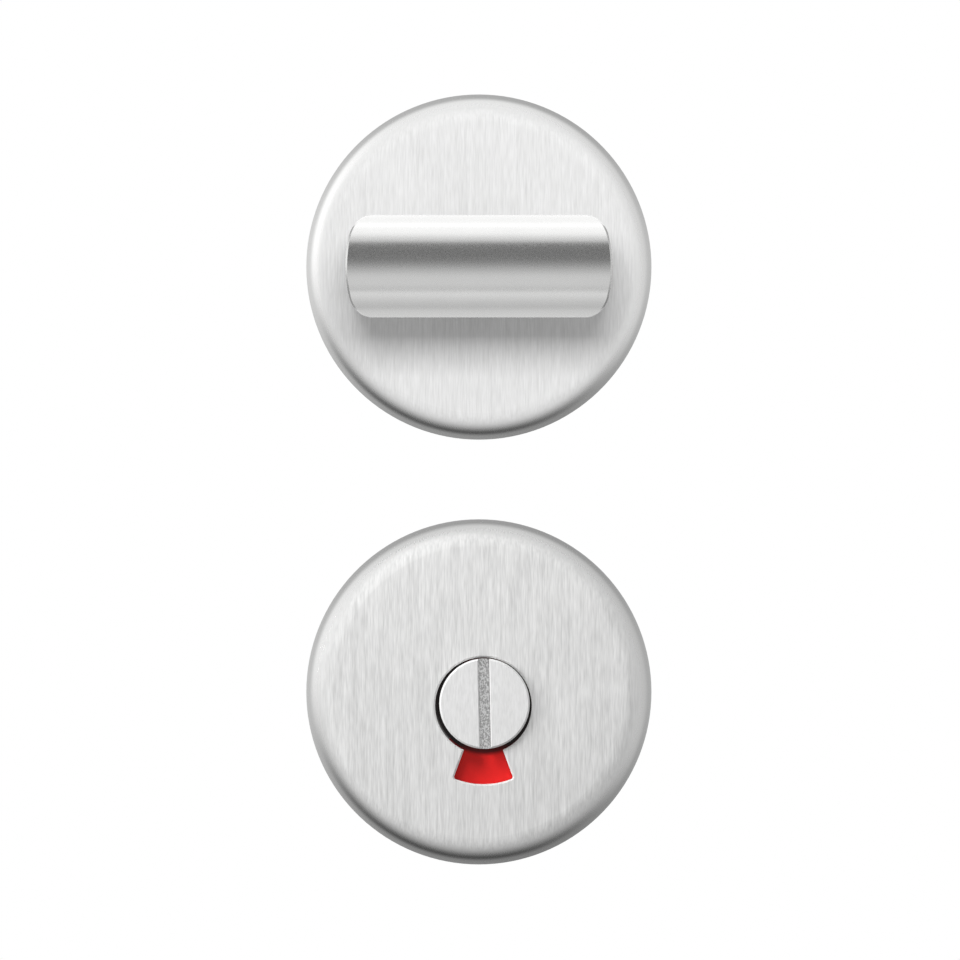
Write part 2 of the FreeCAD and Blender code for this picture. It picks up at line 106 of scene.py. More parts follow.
# Points nearer to each other, or to a cutting plane, than this are taken as one, in metres
SAME_POINT = 1e-7
ON_PLANE = 1e-8

# Cosine and sine of the lean of the dome's dark side
SHADE_UP, SHADE_ACROSS = 0.978, 0.208


class TurnLockFinishes(bpy.types.PropertyGroup):
    """Colours and grain of the finishes."""

    turn_rose_colour: FloatVectorProperty(
        name="Turn rose", description="Steel of the rose with the thumb turn",
        default=(0.90, 0.90, 0.895), min=0.0, max=1.0, subtype="COLOR")
    # Painted shade: the same steel as the turn rose, kept darker for the dimmer light on the release half
    release_rose_shaded_colour: FloatVectorProperty(
        name="Release rose", description="Steel of the rose with the coin release",
        default=(0.80, 0.80, 0.795), min=0.0, max=1.0, subtype="COLOR")
    bar_colour: FloatVectorProperty(
        name="Bar", description="Blasted steel of the bar and its neck",
        default=(0.70, 0.70, 0.695), min=0.0, max=1.0, subtype="COLOR")
    plug_colour: FloatVectorProperty(
        name="Plug", description="Satin steel of the slotted plug",
        default=(0.92, 0.92, 0.915), min=0.0, max=1.0, subtype="COLOR")
    zinc_colour: FloatVectorProperty(
        name="Zinc", description="Zinc plating of the plates, bolts, posts and spindle",
        default=(0.62, 0.64, 0.66), min=0.0, max=1.0, subtype="COLOR")
    spring_colour: FloatVectorProperty(
        name="Spring steel", description="Oiled steel of the rings and washers",
        default=(0.26, 0.26, 0.27), min=0.0, max=1.0, subtype="COLOR")
    nylon_colour: FloatVectorProperty(
        name="Nylon", description="Plastic of the two bushes",
        default=(0.72, 0.70, 0.62), min=0.0, max=1.0, subtype="COLOR")
    locked_colour: FloatVectorProperty(
        name="Locked", description="Enamel that shows when the door is locked",
        default=(0.88, 0.020, 0.019), min=0.0, max=1.0, subtype="COLOR")
    free_colour: FloatVectorProperty(
        name="Free", description="Enamel that shows when the door is free",
        default=(0.80, 0.80, 0.78), min=0.0, max=1.0, subtype="COLOR")
    grain_width: FloatProperty(
        name="Grain width", description="Width of one brush mark on the roses",
        default=0.00022, min=0.00002, subtype="DISTANCE", unit="LENGTH")
    grain_length: FloatProperty(
        name="Grain length", description="Length of one brush mark on the roses",
        default=0.0026, min=0.0002, subtype="DISTANCE", unit="LENGTH")
    blast_size: FloatProperty(
        name="Blast size", description="Size of one dimple on the blasted bar",
        default=0.00026, min=0.00002, subtype="DISTANCE", unit="LENGTH")


class TurnLockThreads(bpy.types.PropertyGroup):
    """Sizes of the thread on the fixing bolts and in the posts."""

    pitch: FloatProperty(
        name="Pitch", description="Distance from one thread to the next",
        default=0.0007, min=0.0002, subtype="DISTANCE", unit="LENGTH")
    depth: FloatProperty(
        name="Depth", description="Height of the thread from root to crest",
        default=0.00038, min=0.0001, subtype="DISTANCE", unit="LENGTH")
    steps: IntProperty(
        name="Steps", description="Facets in one turn of the thread",
        default=24, min=12, max=96)


class TurnLockStage(bpy.types.PropertyGroup):
    """Camera, floor and light."""

    camera_distance: FloatProperty(
        name="Camera distance", description="From the lens to the face of the roses",
        default=5.0, min=0.5, subtype="DISTANCE", unit="LENGTH")
    frame_width: FloatProperty(
        name="Frame width", description="Width of the picture at the face of the roses",
        default=0.1445, min=0.01, subtype="DISTANCE", unit="LENGTH")
    floor_drop: FloatProperty(
        name="Floor drop", description="Depth of the floor below the middle of the turn",
        default=0.111, min=0.09, subtype="DISTANCE", unit="LENGTH")
    ambient: FloatProperty(
        name="Ambient", description="Even light that painted and plastic surfaces get",
        default=0.35, min=0.0, max=1.0, subtype="FACTOR")


class Wire:
    """A value in a node tree, which plain arithmetic joins to other values with Math nodes."""

    def __init__(self, sheet, socket):
        self.sheet = sheet
        self.socket = socket

    def math(self, operation, *values):
        settings = {"operation": operation}
        return self.sheet.node("ShaderNodeMath", settings, dict(enumerate(values)))

    def __add__(self, other):
        return self.math("ADD", self, other)

    def __radd__(self, other):
        return self.math("ADD", other, self)

    def __sub__(self, other):
        return self.math("SUBTRACT", self, other)

    def __rsub__(self, other):
        return self.math("SUBTRACT", other, self)

    def __mul__(self, other):
        return self.math("MULTIPLY", self, other)

    def __rmul__(self, other):
        return self.math("MULTIPLY", other, self)

    def __truediv__(self, other):
        return self.math("DIVIDE", self, other)

    def __abs__(self):
        return self.math("ABSOLUTE", self)

    def other(self, name):
        """Another output of the node that this value comes from."""
        return Wire(self.sheet, self.sheet.find(self.socket.node.outputs, name))

    def rise(self, start, end):
        """0 before start and 1 after end, with a soft step between them."""
        sockets = {"Value": self, "From Min": start, "From Max": end}
        return self.sheet.node("ShaderNodeMapRange", {"interpolation_type": "SMOOTHSTEP"}, sockets)

    def inside(self, low, high, soft):
        """1 between low and high, fading out over a soft margin."""
        return self.rise(low - soft, low + soft) * (1 - self.rise(high - soft, high + soft))


class Sheet:
    """The nodes of one material or of the world."""

    def __init__(self, tree):
        self.tree = tree
        tree.nodes.clear()

    def node(self, kind, settings, sockets, output=0):
        """Add a node, set it, fill or link its sockets and give back one of its outputs."""
        made = self.tree.nodes.new(kind)
        for name, value in settings.items():
            setattr(made, name, value)
        for name, value in sockets.items():
            socket = self.find(made.inputs, name)
            if isinstance(value, Wire):
                self.tree.links.new(value.socket, socket)
            else:
                socket.default_value = value
        if made.outputs:
            return Wire(self, self.find(made.outputs, output))
        return None

    def find(self, sockets, name):
        """The socket in use with that name, or with that place among those in use."""
        in_use = [socket for socket in sockets if socket.enabled]
        if isinstance(name, int):
            return in_use[name]
        return next(socket for socket in in_use if socket.name == name)

    def millimetres(self):
        """The piece's own coordinates, in millimetres."""
        place = self.node("ShaderNodeTexCoord", {}, {}, "Object")
        return self.node("ShaderNodeVectorMath", {"operation": "SCALE"}, {"Vector": place, "Scale": 1 / MM})

    def split(self, vector):
        """The three parts of a vector."""
        first = self.node("ShaderNodeSeparateXYZ", {}, {"Vector": vector})
        return [first.other(axis) for axis in "XYZ"]

    def reach(self, place, middle, plane):
        """Distance from a middle, measured in a plane."""
        flat = self.node("ShaderNodeVectorMath", {"operation": "MULTIPLY"}, {0: place, 1: plane})
        return self.node("ShaderNodeVectorMath", {"operation": "DISTANCE"}, {0: flat, 1: middle}, "Value")

    def noise(self, place, sizes, detail=1.0):
        """Soft noise whose marks have the given sizes in millimetres."""
        sockets = {0: place, 1: Vector([1 / size for size in sizes])}
        stretched = self.node("ShaderNodeVectorMath", {"operation": "MULTIPLY"}, sockets)
        return self.node("ShaderNodeTexNoise", {}, {"Vector": stretched, "Scale": 1.0, "Detail": detail})

    def mix(self, factor, first, second):
        """A colour between two colours."""
        sockets = {"Factor": factor, "A": first, "B": second}
        return self.node("ShaderNodeMix", {"data_type": "RGBA"}, sockets)

    def bump(self, height, strength, depth):
        """Surface direction roughened by a height, with its depth in millimetres."""
        sockets = {"Height": height, "Strength": strength, "Distance": depth * MM}
        return self.node("ShaderNodeBump", {}, sockets)

    def surface(self, sockets):
        """Close the material with its shader."""
        shader = self.node("ShaderNodeBsdfPrincipled", {}, sockets)
        self.node("ShaderNodeOutputMaterial", {}, {"Surface": shader})


def shade(colour, factor):
    """A colour made lighter or darker, with its alpha."""
    return tuple(min(1.0, part * factor) for part in colour) + (1.0,)


def new_material(name):
    """An empty node material and its sheet."""
    material = bpy.data.materials.new(name)
    material.use_nodes = True
    return material, Sheet(material.node_tree)


def dress(material, *nodes):
    """Give CAD nodes a material."""
    for node in nodes:
        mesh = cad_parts[node].data
        mesh.materials.clear()
        mesh.materials.append(material)


def brushed_rose_steel(name, colour, centre, contrast, rim_shade):
    """Satin steel with fine upright brush marks on the face, which the polished rim loses."""
    finish = bpy.context.scene.turn_lock_finishes
    material, sheet = new_material(name)
    place = sheet.millimetres()
    rim = sheet.reach(place, centre, DOOR_FACE).rise(RIM_START, RIM_END)
    width = finish.grain_width / MM
    length = finish.grain_length / MM
    fine = sheet.noise(place, (width, width, length))
    long = sheet.noise(place, (1.9 * width, 1.9 * width, 4.0 * length))
    cloud = sheet.noise(place, (9.0, 9.0, 14.0), 2.0)
    tone = 0.5 * fine + 0.35 * long + 0.15 * cloud
    spread = (tone - 0.5) * contrast + 0.5
    brushed = sheet.mix(spread, shade(colour, 0.82), shade(colour, 1.18))
    sheet.surface({
        # The rim's colour is darkened by a factor: painted shade, strongest on the release rose
        "Base Color": sheet.mix(rim, brushed, shade(colour, rim_shade)),
        "Metallic": 0.1 + 0.9 * rim,
        "Roughness": 0.44 + 0.1 * fine - 0.24 * rim,
        "Anisotropic": 0.4,
        "Normal": sheet.bump(fine, 0.1, 0.02),
    })
    return material


def blasted_steel(name, colour):
    """Bead-blasted steel with small even dimples."""
    finish = bpy.context.scene.turn_lock_finishes
    material, sheet = new_material(name)
    place = sheet.millimetres()
    size = finish.blast_size / MM
    dimples = sheet.noise(place, (size, size, size))
    cloud = sheet.noise(place, (4.0, 4.0, 4.0), 2.0)
    tone = 0.75 * dimples + 0.25 * cloud
    sheet.surface({
        "Base Color": sheet.mix(tone, shade(colour, 0.92), shade(colour, 1.08)),
        "Metallic": 1.0,
        "Roughness": 0.21 + 0.1 * dimples,
        "Normal": sheet.bump(dimples, 0.13, 0.02),
    })
    return material


def plug_steel(name, colour):
    """Satin steel with faint upright marks, and a slot with a rough milled floor that painted shade darkens
    towards its walls.
    """
    material, sheet = new_material(name)
    place = sheet.millimetres()
    across, depth, up = sheet.split(place)
    fine = sheet.noise(place, (0.2, 0.2, 1.2))
    chips = sheet.noise(place, (0.18, 0.18, 0.28), 3.0)
    off_middle = abs(across - RELEASE_AXIS.x + SLOT_LEAN * (up - RELEASE_AXIS.z))
    in_depth = depth.inside(MILLED_FRONT, MILLED_FLOOR, 0.15)
    slot = (1 - off_middle.rise(MILLED_START, MILLED_END)) * in_depth
    # Painted shade on the milled floor towards the slot's walls
    wall_shade = off_middle.rise(WALL_SHADE_START, WALL_SHADE_END)
    satin = sheet.mix(fine, shade(colour, 0.84), shade(colour, 1.12))
    milled = sheet.mix(chips.rise(0.40, 0.60) * (1 - 0.6 * wall_shade), shade(colour, 0.55), shade(colour, 1.1))
    sheet.surface({
        "Base Color": sheet.mix(slot, satin, milled),
        "Metallic": 0.15 + 0.6 * slot,
        "Roughness": 0.36 + 0.1 * fine - 0.06 * slot,
        "Anisotropic": 0.4,
        "Normal": sheet.bump(fine * (1 - slot) + 4.0 * chips * slot, 0.15, 0.02),
    })
    return material


def bloomed_zinc(sheet, bloom, marks, dark, light):
    """Zinc between a dark and a light tone by its marks, and warmer where it has a bloom."""
    colour = bpy.context.scene.turn_lock_finishes.zinc_colour
    plain = sheet.mix(marks, shade(colour, dark), shade(colour, light))
    warm = (colour[0] * 1.06, colour[1], colour[2] * 0.92, 1.0)
    return sheet.mix(bloom.rise(0.45, 0.75) * 0.5, plain, warm)


def zinc_plate(name, grain):
    """Zinc plating with a faint bloom, over marks of the given sizes."""
    material, sheet = new_material(name)
    place = sheet.millimetres()
    marks = sheet.noise(place, grain)
    bloom = sheet.noise(place, (3.0, 3.0, 3.0), 3.0)
    sheet.surface({
        "Base Color": bloomed_zinc(sheet, bloom, marks, 0.86, 1.12),
        "Metallic": 1.0,
        "Roughness": 0.26 + 0.14 * bloom + 0.06 * marks,
        "Normal": sheet.bump(marks, 0.15, 0.02),
    })
    return material


def turned_zinc(name, centre):
    """Zinc plating over the rings that a lathe leaves about a centre."""
    material, sheet = new_material(name)
    place = sheet.millimetres()
    radius = sheet.reach(place, centre, DOOR_FACE)
    sockets = {"W": radius, "Scale": 3.4, "Detail": 2.0}
    rings = sheet.node("ShaderNodeTexNoise", {"noise_dimensions": "1D"}, sockets)
    bloom = sheet.noise(place, (4.0, 4.0, 4.0), 3.0)
    sheet.surface({
        "Base Color": bloomed_zinc(sheet, bloom, rings, 0.84, 1.14),
        "Metallic": 1.0,
        "Roughness": 0.28 + 0.12 * bloom + 0.06 * rings,
        "Normal": sheet.bump(rings, 0.2, 0.02),
    })
    return material


def oiled_spring_steel():
    """Dark spring steel with a thin film of oil."""
    colour = bpy.context.scene.turn_lock_finishes.spring_colour
    material, sheet = new_material("oiled_spring_steel")
    place = sheet.millimetres()
    film = sheet.noise(place, (1.6, 1.6, 1.6), 3.0)
    scale = sheet.noise(place, (0.18, 0.18, 0.18))
    sheet.surface({
        "Base Color": sheet.mix(0.6 * film + 0.4 * scale, shade(colour, 0.75), shade(colour, 1.3)),
        "Metallic": 1.0,
        "Roughness": 0.22 + 0.22 * film,
        "Normal": sheet.bump(scale, 0.15, 0.02),
    })
    return material


def natural_nylon():
    """Off-white nylon with a faint moulded bloom."""
    colour = bpy.context.scene.turn_lock_finishes.nylon_colour
    material, sheet = new_material("natural_nylon")
    place = sheet.millimetres()
    bloom = sheet.noise(place, (2.2, 2.2, 2.2), 2.0)
    skin = sheet.noise(place, (0.12, 0.12, 0.12))
    sheet.surface({
        "Base Color": sheet.mix(bloom, shade(colour, 0.92), shade(colour, 1.08)),
        "Roughness": 0.38 + 0.18 * skin,
        "Normal": sheet.bump(skin, 0.2, 0.02),
    })
    return material


def indicator_enamel():
    """Enamel in quarters, one colour above and below the axis and one beside it, round a ring of painted
    shade in the gap beside the plug.
    """
    finish = bpy.context.scene.turn_lock_finishes
    material, sheet = new_material("indicator_enamel")
    place = sheet.millimetres()
    across, _, up = sheet.split(place)
    above = abs(up - RELEASE_AXIS.z)
    beside = abs(across - RELEASE_AXIS.x)
    locked = (above - beside).rise(-0.03, 0.03)
    # 1 where the enamel shows, 0 in the ring of painted shade beside the plug
    painted = sheet.reach(place, RELEASE_AXIS, DOOR_FACE).rise(GAP_SHADE_START, GAP_SHADE_END)
    speckle = sheet.noise(place, (0.16, 0.16, 0.16), 2.0)
    cloud = sheet.noise(place, (1.5, 1.5, 1.5), 2.0)
    tone = 0.6 * speckle + 0.4 * cloud
    red = sheet.mix(tone, shade(finish.locked_colour, 0.86), shade(finish.locked_colour, 1.16))
    pale = sheet.mix(tone, shade(finish.free_colour, 0.95), shade(finish.free_colour, 1.05))
    # Painted shade in the gap beside the plug: near black, and dark red towards the quarters above and below
    # the axis
    shade_redness = (above - 1.9 * beside).rise(-1.5, 2.5)
    gap_shade = sheet.mix(shade_redness, (0.012, 0.008, 0.008, 1.0), (0.09, 0.005, 0.005, 1.0))
    sheet.surface({
        "Base Color": sheet.mix(painted, gap_shade, sheet.mix(locked, pale, red)),
        "Roughness": 0.34 + 0.16 * speckle,
        "Specular IOR Level": 0.2,
        "Normal": sheet.bump(speckle, 0.12, 0.02),
    })
    return material


def thread_surface(bm, root, pitch, depth, steps, start, turns):
    """Helical thread about the Y axis: one climbing turn of the spin, repeated along the axis."""
    # Shares of the pitch, with the height above the root at each
    outline = [(0.0, 0.0), (0.12, 0.0), (0.44, depth), (0.58, depth), (0.90, 0.0), (1.0, 0.0)]
    verts = [bm.verts.new((root + height, start + share * pitch, 0.0)) for share, height in outline]
    edges = [bm.edges.new(pair) for pair in zip(verts, verts[1:])]
    bmesh.ops.spin(
        bm, geom=verts + edges, cent=(0, 0, 0), axis=(0, 1, 0), dvec=(0, pitch / steps, 0),
        angle=2 * math.pi, steps=steps, use_merge=False)
    one_turn = bm.verts[:] + bm.edges[:] + bm.faces[:]
    for turn in range(1, turns):
        copied = bmesh.ops.duplicate(bm, geom=one_turn)["geom"]
        moved = [item for item in copied if isinstance(item, bmesh.types.BMVert)]
        bmesh.ops.translate(bm, vec=(0, turn * pitch, 0), verts=moved)
    bmesh.ops.remove_doubles(bm, verts=bm.verts[:], dist=pitch / 200)


def cut_flat(bm, height, keep_above):
    """Cut the mesh square to the Y axis and give back the edges of the opening."""
    side = -1 if keep_above else 1
    found = bmesh.ops.bisect_plane(
        bm, geom=bm.verts[:] + bm.edges[:] + bm.faces[:], dist=ON_PLANE,
        plane_co=(0, height, 0), plane_no=(0, side, 0), clear_outer=True)
    return [item for item in found["geom_cut"] if isinstance(item, bmesh.types.BMEdge)]


def carry_rim(bm, edges, height, radius):
    """Extrude an opening's rim to a circle or outline of the given radius, at a height along Y."""
    found = bmesh.ops.extrude_edge_only(bm, edges=edges)["geom"]
    for vert in [item for item in found if isinstance(item, bmesh.types.BMVert)]:
        angle = math.atan2(vert.co.z, vert.co.x)
        reach = radius(angle) if callable(radius) else radius
        vert.co = Vector((reach * math.cos(angle), height, reach * math.sin(angle)))
    return [item for item in found if isinstance(item, bmesh.types.BMEdge)]


def hexagon_reach(width):
    """How far a hexagon, measured across its flats, reaches at an angle."""
    sixth = math.pi / 3

    def reach(angle):
        return width / 2 / math.cos(angle % sixth - sixth / 2)

    return reach


def close_rim(bm, edges):
    """Fill the opening inside a rim."""
    bmesh.ops.edgeloop_fill(bm, edges=edges)


def add_piece(name, bm, material, body, node, place):
    """Finish a mesh and put it in the place of a CAD node."""
    bmesh.ops.remove_doubles(bm, verts=bm.verts[:], dist=SAME_POINT)
    bmesh.ops.recalc_face_normals(bm, faces=bm.faces[:])
    bmesh.ops.translate(bm, vec=place, verts=bm.verts[:])
    mesh = bpy.data.meshes.new(name)
    bm.to_mesh(mesh)
    bm.free()
    mesh.materials.append(material)
    piece = bpy.data.objects.new(name, mesh)
    bpy.context.scene.collection.objects.link(piece)
    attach(piece, body)
    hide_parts(node)


def add_pair(context, name, material, node_name, make):
    """Make a left and a right piece to the boxes of their CAD nodes, and put them in those places."""
    for side in ("left", "right"):
        node = node_name + side
        low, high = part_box(node)
        place = Vector(((low.x + high.x) / 2, 0.0, (low.z + high.z) / 2))
        bm = make(context, low.y, high.y, (high.x - low.x) / 2)
        add_piece(name + side, bm, material, DOOR_FITTINGS, node, place)


class TURNLOCK_OT_roses(bpy.types.Operator):
    """Brush the two rose covers"""

    bl_idname = "turn_lock.roses"
    bl_label = "Rose covers"

    def execute(self, context):
        finish = context.scene.turn_lock_finishes
        turn = brushed_rose_steel(
            "brushed_turn_rose", finish.turn_rose_colour, TURN_AXIS, contrast=1.8, rim_shade=0.98)
        # A darker copy of the turn rose's steel with a darker rim, which paints shade on the release half
        release = brushed_rose_steel(
            "brushed_release_rose", finish.release_rose_shaded_colour, RELEASE_ROSE, contrast=2.6, rim_shade=0.86)
        dress(turn, "turn_rose_cover")
        dress(release, "release_rose_cover")
        return {"FINISHED"}


class TURNLOCK_OT_thumb_turn(bpy.types.Operator):
    """Blast the thumb turn's bar and neck"""

    bl_idname = "turn_lock.thumb_turn"
    bl_label = "Thumb turn"

    def execute(self, context):
        finish = context.scene.turn_lock_finishes
        dress(blasted_steel("blasted_thumb_turn", finish.bar_colour), "thumb_turn_bar", "thumb_turn_neck")
        return {"FINISHED"}


class TURNLOCK_OT_release(bpy.types.Operator):
    """Finish the slotted plug and the enamelled disc"""

    bl_idname = "turn_lock.release"
    bl_label = "Coin release"

    def execute(self, context):
        finish = context.scene.turn_lock_finishes
        dress(plug_steel("satin_plug", finish.plug_colour), "release_plug")
        dress(indicator_enamel(), "indicator_disc")
        return {"FINISHED"}


class TURNLOCK_OT_plates(bpy.types.Operator):
    """Plate the two back plates and the spindle"""

    bl_idname = "turn_lock.plates"
    bl_label = "Plates and spindle"

    def execute(self, context):
        dress(turned_zinc("turned_turn_plate", TURN_AXIS), "turn_backplate")
        dress(turned_zinc("turned_release_plate", RELEASE_ROSE), "release_backplate")
        dress(zinc_plate("drawn_spindle", grain=(0.2, 5.0, 0.2)), "turn_spindle")
        return {"FINISHED"}


class TURNLOCK_OT_running_pieces(bpy.types.Operator):
    """Finish the bushes, washers, rings and the grub screw"""

    bl_idname = "turn_lock.running_pieces"
    bl_label = "Bushes, washers and rings"

    def execute(self, context):
        dress(natural_nylon(), "turn_cover_bush", "release_bush")
        spring = oiled_spring_steel()
        dress(spring, "turn_grub_screw", "turn_cover_snap_ring", "release_cover_snap_ring")
        for half in ("turn", "release"):
            dress(spring, half + "_wave_washer", half + "_thrust_washer", half + "_retaining_ring")
        return {"FINISHED"}


class TURNLOCK_OT_bolts(bpy.types.Operator):
    """Make the two countersunk fixing bolts with their threads"""

    bl_idname = "turn_lock.bolts"
    bl_label = "Fixing bolts"

    def execute(self, context):
        material = zinc_plate("plated_bolts", grain=(0.25, 0.25, 0.25))
        add_pair(context, "threaded_bolt_", material, "turn_bolt_", self.bolt)
        return {"FINISHED"}

    def bolt(self, context, head_front, tip, head_radius):
        """One bolt along Y: its head in front of the door's face and its thread behind it."""
        thread = context.scene.turn_lock_threads
        crest, shoulder, key = 2.0 * MM, 2.25 * MM, 2.5 * MM
        key_depth, point = 1.2 * MM, 0.5 * MM
        bm = bmesh.new()
        turns = math.ceil(tip / thread.pitch) + SPARE_TURNS
        root = crest - thread.depth
        start = -TURNS_BEFORE * thread.pitch
        thread_surface(bm, root, thread.pitch, thread.depth, thread.steps, start, turns)
        neck = cut_flat(bm, 0.0, True)
        end = cut_flat(bm, tip, False)
        for vert in bm.verts:
            flat = Vector((vert.co.x, 0.0, vert.co.z))
            most = crest - max(0.0, vert.co.y - (tip - point))
            if flat.length > most:
                vert.co -= flat * (1 - most / flat.length)
        close_rim(bm, end)
        neck = carry_rim(bm, neck, 0.0, shoulder)
        neck = carry_rim(bm, neck, head_front + head_radius - shoulder, shoulder)
        neck = carry_rim(bm, neck, head_front, head_radius)
        neck = carry_rim(bm, neck, head_front, hexagon_reach(key))
        neck = carry_rim(bm, neck, head_front + key_depth, hexagon_reach(key))
        close_rim(bm, neck)
        return bm


class TURNLOCK_OT_posts(bpy.types.Operator):
    """Make the two flanged posts with threaded bores"""

    bl_idname = "turn_lock.posts"
    bl_label = "Posts"

    def execute(self, context):
        material = zinc_plate("plated_posts", grain=(0.25, 0.25, 0.25))
        add_pair(context, "threaded_post_", material, "release_post_", self.post)
        return {"FINISHED"}

    def post(self, context, front, rear, flange):
        """One post along Y, with its blind threaded bore open at the rear."""
        thread = context.scene.turn_lock_threads
        bore, body, lead = 2.0 * MM, 3.0 * MM, 0.3 * MM
        flange_thickness, bore_depth = 0.9 * MM, 14.0 * MM
        bm = bmesh.new()
        floor = rear - bore_depth
        turns = math.ceil(bore_depth / thread.pitch) + SPARE_TURNS
        start = floor - TURNS_BEFORE * thread.pitch
        thread_surface(bm, bore, thread.pitch, -thread.depth, thread.steps, start, turns)
        inner = cut_flat(bm, floor, True)
        mouth = cut_flat(bm, rear - lead, False)
        close_rim(bm, inner)
        rim = carry_rim(bm, mouth, rear, bore)
        rim = carry_rim(bm, rim, rear, body - lead)
        rim = carry_rim(bm, rim, rear - lead, body)
        rim = carry_rim(bm, rim, front + flange_thickness, body)
        rim = carry_rim(bm, rim, front + flange_thickness, flange)
        rim = carry_rim(bm, rim, front, flange)
        close_rim(bm, rim)
        return bm


class TURNLOCK_OT_stage(bpy.types.Operator):
    """Set up the camera, the floor and the studio light"""

    bl_idname = "turn_lock.stage"
    bl_label = "Stage"

    def execute(self, context):
        stage = context.scene.turn_lock_stage
        context.scene.view_settings.view_transform = "Standard"
        self.camera(context, stage)
        floor = self.floor(context, stage)
        self.lamps(context, floor)
        self.dome(context, stage)
        return {"FINISHED"}

    def camera(self, context, stage):
        """A long lens straight in front of the two roses."""
        lens = bpy.data.cameras.new("camera")
        lens.sensor_width = 36.0
        lens.lens = lens.sensor_width * stage.camera_distance / stage.frame_width
        camera = bpy.data.objects.new("camera", lens)
        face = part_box("turn_rose_cover")[0].y
        camera.location = (LENS_PLACE[0] * MM, face - stage.camera_distance, LENS_PLACE[1] * MM)
        camera.rotation_euler = (math.pi / 2, 0.0, 0.0)
        lens.clip_end = 4 * stage.camera_distance
        context.scene.collection.objects.link(camera)
        context.scene.camera = camera

    def floor(self, context, stage):
        """A pale floor below the picture, which thins out towards its edge."""
        bm = bmesh.new()
        bmesh.ops.create_circle(bm, cap_ends=True, segments=96, radius=FLOOR_RADIUS)
        bmesh.ops.translate(bm, vec=(0.0, 0.0, -stage.floor_drop), verts=bm.verts[:])
        mesh = bpy.data.meshes.new("floor")
        bm.to_mesh(mesh)
        bm.free()
        floor = bpy.data.objects.new("floor", mesh)
        context.scene.collection.objects.link(floor)
        floor.visible_glossy = False
        floor.visible_diffuse = False
        floor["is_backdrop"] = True
        material, sheet = new_material("pale_floor")
        place = sheet.millimetres()
        reach = sheet.reach(place, TURN_AXIS, LEVEL)
        mottle = sheet.noise(place, (40.0, 40.0, 40.0), 3.0)
        sheet.surface({
            "Base Color": sheet.mix(mottle, (0.86, 0.86, 0.86, 1.0), (0.90, 0.90, 0.90, 1.0)),
            "Roughness": 0.8,
            "Alpha": 1 - reach.rise(FLOOR_FADE_START, FLOOR_FADE_END),
        })
        mesh.materials.append(material)
        return floor

    def lamps(self, context, floor):
        """Soft lamps that nothing mirrors, and panels that light only what mirrors them."""
        handle = [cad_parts[node] for node in ("thumb_turn_bar", "thumb_turn_neck")]
        shown = [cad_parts[node] for node in ("turn_rose_cover", "release_rose_cover", "release_plug")]
        others = [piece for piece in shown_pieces() if piece not in handle]
        upper = [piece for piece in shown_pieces() if piece.bound_box[0][2] > BETWEEN_HALVES]
        lower = [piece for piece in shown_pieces() if piece not in upper]
        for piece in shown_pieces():
            piece.visible_glossy = False
        on_handle = self.lit_group("lit_handle", handle)
        on_others = self.lit_group("lit_others", others)
        on_upper = self.lit_group("lit_turn_half", upper)
        on_lower = self.lit_group("lit_release_half", lower)
        on_floor = self.lit_group("lit_floor", [floor])
        on_inside = self.lit_group("lit_inside", [piece for piece in others if piece not in shown])
        # After its name, each lamp has azimuth, height, distance, width, tall and radiance
        paint = {"glossy": False}
        self.lamp(context, "turn_key", -2.0, 24.0, 0.35, 28.0, 19.0, 12.6, on_upper, **paint)
        self.lamp(context, "release_key", -26.0, 46.0, 0.20, 24.0, 24.0, 12.0, on_lower, **paint)
        self.lamp(context, "release_side", -68.0, 12.0, 0.50, 22.0, 18.0, 18.0, on_lower, **paint)
        self.lamp(context, "floor_lamp", 0.0, 60.0, 1.0, 40.0, 40.0, 5.0, on_floor, **paint)
        self.lamp(context, "behind", 150.0, 35.0, 1.20, 40.0, 40.0, 2.5, **paint)
        steel = {"diffuse": False}
        self.lamp(context, "lens_panel", 0.0, 34.0, 6.0, 40.0, 44.0, 0.70, on_others, **steel)
        self.lamp(context, "rear_panel", 180.0, 25.0, 1.2, 60.0, 50.0, 0.9, on_inside, **steel)
        self.lamp(context, "overhead_edge", 0.0, 86.0, 6.0, 40.0, 28.0, 0.42, on_handle, **steel)
        self.lamp(context, "overhead_strip", 0.0, 135.0, 6.0, 40.0, 70.0, 0.85, on_handle, **steel)
        self.lamp(context, "under_strip", 0.0, -112.0, 6.0, 40.0, 108.0, 0.54, on_handle, **steel)
        self.lamp(context, "under_wash", 0.0, -68.0, 6.0, 40.0, 64.0, 0.13, on_handle, **steel)

    def lit_group(self, name, pieces):
        """A group of pieces that a lamp lights alone."""
        group = bpy.data.collections.new(name)
        for piece in pieces:
            group.objects.link(piece)
        return group

    def lamp(self, context, name, azimuth, height, distance, width, tall, radiance,
             group=None, glossy=True, diffuse=True):
        """One panel, placed and sized by angles seen from the object, facing it."""
        turn, climb = math.radians(azimuth), math.radians(height)
        light = bpy.data.lights.new(name, "AREA")
        light.shape = "RECTANGLE"
        light.size = 2 * distance * math.tan(math.radians(width / 2))
        light.size_y = 2 * distance * math.tan(math.radians(tall / 2))
        light.energy = radiance * math.pi * light.size * light.size_y
        thing = bpy.data.objects.new(name, light)
        aim = Matrix.Rotation(turn, 3, "Z") @ Matrix.Rotation(math.pi / 2 - climb, 3, "X")
        thing.location = LAMPS_AIM + aim @ Vector((0.0, 0.0, distance))
        thing.rotation_euler = aim.to_euler()
        thing.visible_camera = False
        thing.visible_glossy = glossy
        thing.visible_diffuse = diffuse
        if group:
            thing.light_linking.receiver_collection = group
        if not diffuse:
            light.cycles.max_bounces = 0
        context.scene.collection.objects.link(thing)

